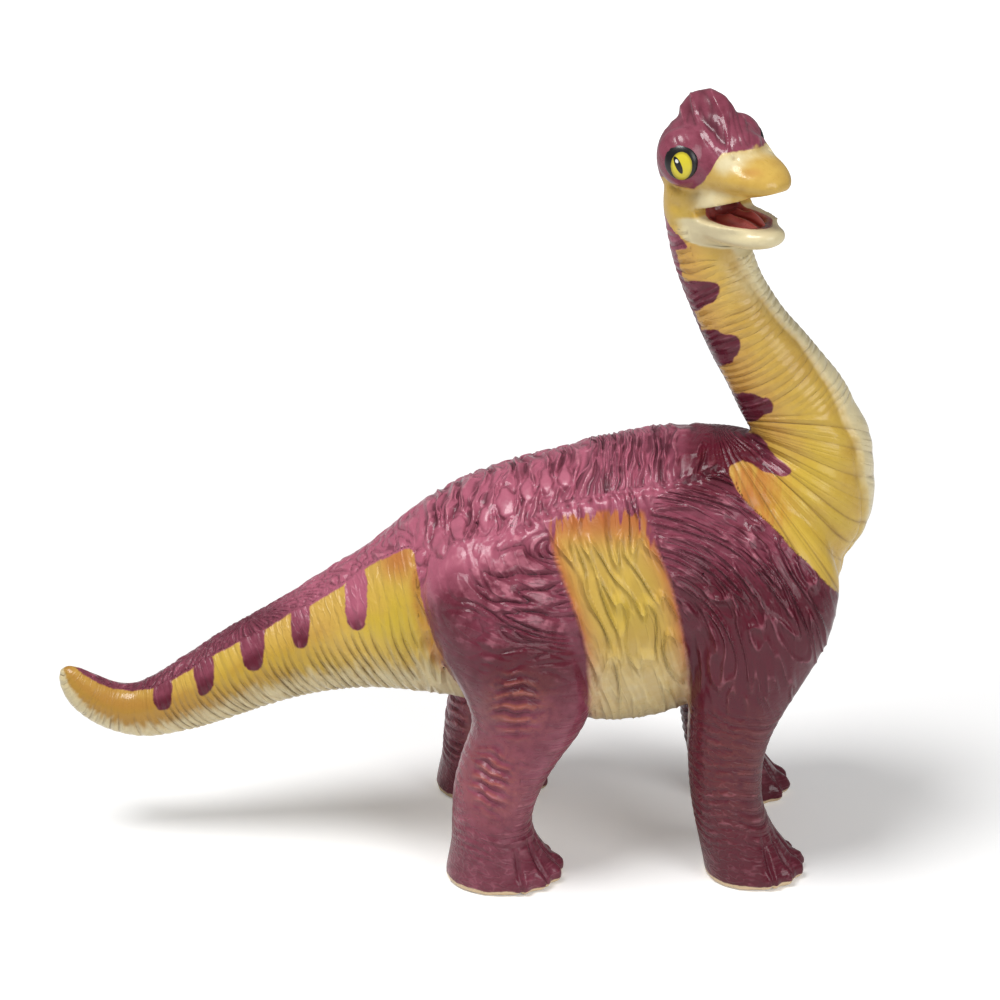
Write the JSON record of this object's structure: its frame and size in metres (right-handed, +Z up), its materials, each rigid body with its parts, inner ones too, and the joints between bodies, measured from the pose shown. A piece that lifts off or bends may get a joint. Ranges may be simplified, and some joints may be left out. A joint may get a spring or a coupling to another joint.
{
  "type": "toy dinosaur figure",
  "caption": "Standing long-necked dinosaur toy in moulded soft plastic, with a turned head, open mouth, folded skin, curled tail and flat soles.",
  "frame": {"origin": "on the ground at the level of the soles, under the middle of the figure's bounding box", "axes": "+X forward from the tail to the chest, +Y to the figure's left, +Z up"},
  "size_m": [0.1358, 0.0484, 0.1302],
  "materials": {
    "body_plum": "soft PVC, hand painted plum, satin, darker in the folds and pinker on them",
    "body_yellow": "soft PVC, sprayed yellow and cream with plum patches, satin",
    "jaw_cream": "soft PVC, painted cream, satin",
    "mouth_red": "soft PVC, painted dark red, glossier than the skin"
  },
  "bodies": {
    "root": {"torso": "body_plum", "neck": "body_yellow", "head": "body_plum", "lower_jaw": "jaw_cream", "tongue": "mouth_red", "tail": "body_yellow", "hind_leg_left": "body_plum", "hind_leg_right": "body_plum", "front_leg_left": "body_plum", "front_leg_right": "body_plum"}
  },
  "joints": []
}
